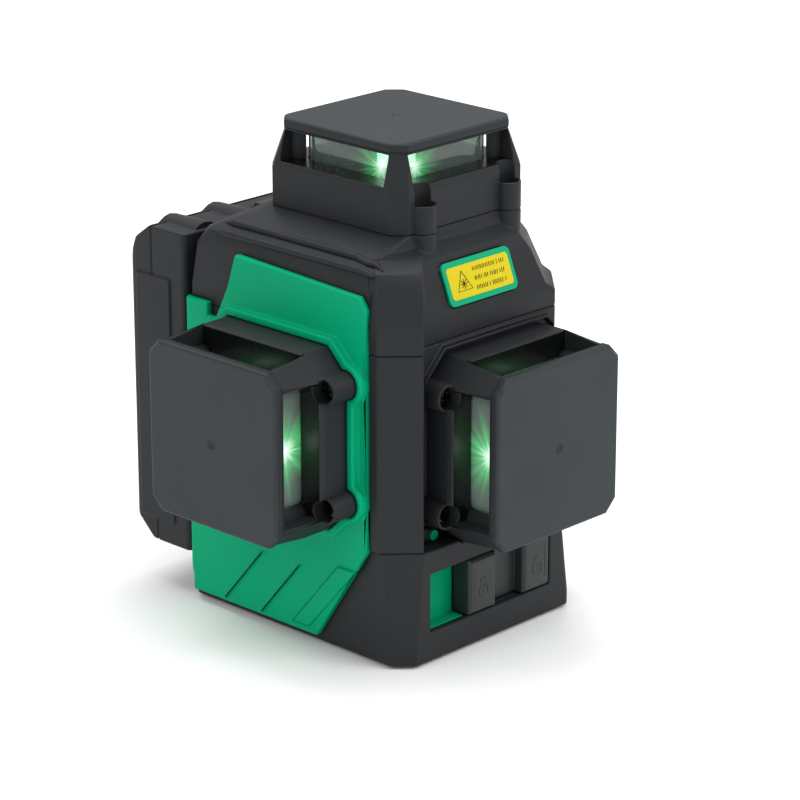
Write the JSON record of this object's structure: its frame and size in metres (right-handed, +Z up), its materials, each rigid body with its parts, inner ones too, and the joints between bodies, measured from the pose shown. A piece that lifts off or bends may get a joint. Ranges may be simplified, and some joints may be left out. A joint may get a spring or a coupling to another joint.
{
  "type": "self-levelling laser level",
  "caption": "Self-levelling line laser with cone-prism heads on top, front and left, a gimbal pendulum with a travel lock, a tripod thread and a clip-off battery.",
  "frame": {"origin": "centre of the tripod thread's mouth on the underside, below the top head's axis", "axes": "+Z up through the top laser head, -Y out of the front head, -X out of the left head"},
  "size_m": [0.102, 0.1157, 0.1308],
  "materials": {
    "black_housing": "fine moulded texture",
    "head_plastic": "fine spark-eroded texture",
    "green_panel": "satin moulded",
    "head_glass": "polished clear",
    "seal_rubber": "matt",
    "black_steel": "black oxide",
    "steel": "turned",
    "aluminium": "machined",
    "brass": "turned",
    "zinc": "die-cast",
    "magnet": "nickel plated",
    "board": "solder mask",
    "cell_wrap": "shrink sleeve",
    "key_rubber": "silk matt",
    "slider_grey": "satin moulded",
    "label": "printed plate"
  },
  "bodies": {
    "housing": {"base_frame": "black_housing", "base_screws": "black_steel", "bottom_cover": "black_housing", "caution_plate": "label", "charge_socket": "magnet", "chassis_posts": "aluminium", "contact_block": "black_housing", "damping_plate": "aluminium", "driver_board": "board", "front_head_cage": "head_plastic", "front_head_glass": "head_glass", "front_head_screws": "black_steel", "front_head_seal": "seal_rubber", "front_shell": "black_housing", "gimbal_bridge": "aluminium", "key_board": "board", "left_head_cage": "head_plastic", "left_head_glass": "head_glass", "left_head_screws": "black_steel", "left_head_seal": "seal_rubber", "left_panel": "green_panel", "pitch_bearings": "steel", "rear_shell": "black_housing", "right_panel": "green_panel", "rubber_feet": "seal_rubber", "top_cover": "black_housing", "top_head_cage": "head_plastic", "top_head_glass": "head_glass", "top_head_screws": "black_steel", "top_head_seal": "seal_rubber", "tripod_insert": "brass", "window_liner": "green_panel"},
    "gimbal": {"gimbal_ring": "aluminium", "pitch_pins": "steel", "roll_bearings": "steel"},
    "pendulum": {"pendulum_hub": "aluminium", "roll_pin": "steel", "pendulum_block": "zinc", "damping_magnet": "magnet", "front_laser": "brass", "left_laser": "brass", "top_laser": "brass", "front_cone": "head_glass", "left_cone": "head_glass", "top_cone": "head_glass"},
    "lock_slider": {"lock_slider": "slider_grey", "lock_carriage": "slider_grey"},
    "lock_plunger": {"lock_plunger": "steel", "plunger_tip": "seal_rubber"},
    "level_button": {"level_button": "key_rubber"},
    "plumb_button": {"plumb_button": "key_rubber"},
    "pulse_button": {"pulse_button": "key_rubber"},
    "port_flap": {"port_flap": "seal_rubber"},
    "battery": {"battery_case": "black_housing", "battery_cover": "black_housing", "battery_cells": "cell_wrap", "battery_contacts": "brass", "latch_spring": "steel"},
    "battery_latch": {"battery_latch": "slider_grey"}
  },
  "joints": [
    {"name": "gimbal_pitch", "type": "hinge", "parent": "housing", "child": "gimbal", "pos_m": [0, 0, 0.08], "axis": [1, 0, 0], "range_deg": [-4, 4]},
    {"name": "pendulum_roll", "type": "hinge", "parent": "gimbal", "child": "pendulum", "pos_m": [0, 0, 0.08], "axis": [0, 1, 0], "range_deg": [-4, 4]},
    {"name": "lock_slide", "type": "slide", "parent": "housing", "child": "lock_slider", "axis": [-1, 0, 0], "range_m": [0, 0.014]},
    {"name": "plunger_lift", "type": "slide", "parent": "housing", "child": "lock_plunger", "axis": [0, 0, 1], "range_m": [0, 0.0024]},
    {"name": "level_button_press", "type": "slide", "parent": "housing", "child": "level_button", "axis": [-1, 0, 0], "range_m": [0, 0.0012], "stiffness_N_per_m": 1500, "springref_m": -0.0004},
    {"name": "plumb_button_press", "type": "slide", "parent": "housing", "child": "plumb_button", "axis": [-1, 0, 0], "range_m": [0, 0.0012], "stiffness_N_per_m": 1500, "springref_m": -0.0004},
    {"name": "pulse_button_press", "type": "slide", "parent": "housing", "child": "pulse_button", "axis": [-1, 0, 0], "range_m": [0, 0.0012], "stiffness_N_per_m": 1500, "springref_m": -0.0004},
    {"name": "flap_hinge", "type": "hinge", "parent": "housing", "child": "port_flap", "pos_m": [0.03425, 0.004, 0.03245], "axis": [0, 1, 0], "range_deg": [0, 95]},
    {"name": "battery_release", "type": "slide", "parent": "housing", "child": "battery", "axis": [0, 1, 0], "range_m": [0, 0.05]},
    {"name": "latch_press", "type": "slide", "parent": "battery", "child": "battery_latch", "axis": [0, 0, -1], "range_m": [0, 0.0025], "stiffness_N_per_m": 1200, "springref_m": -0.0005, "deforming": ["latch_spring"]}
  ],
  "couplings": [
    {"joint": "plunger_lift", "follows": "lock_slide", "ratio": 0.17143}
  ]
}
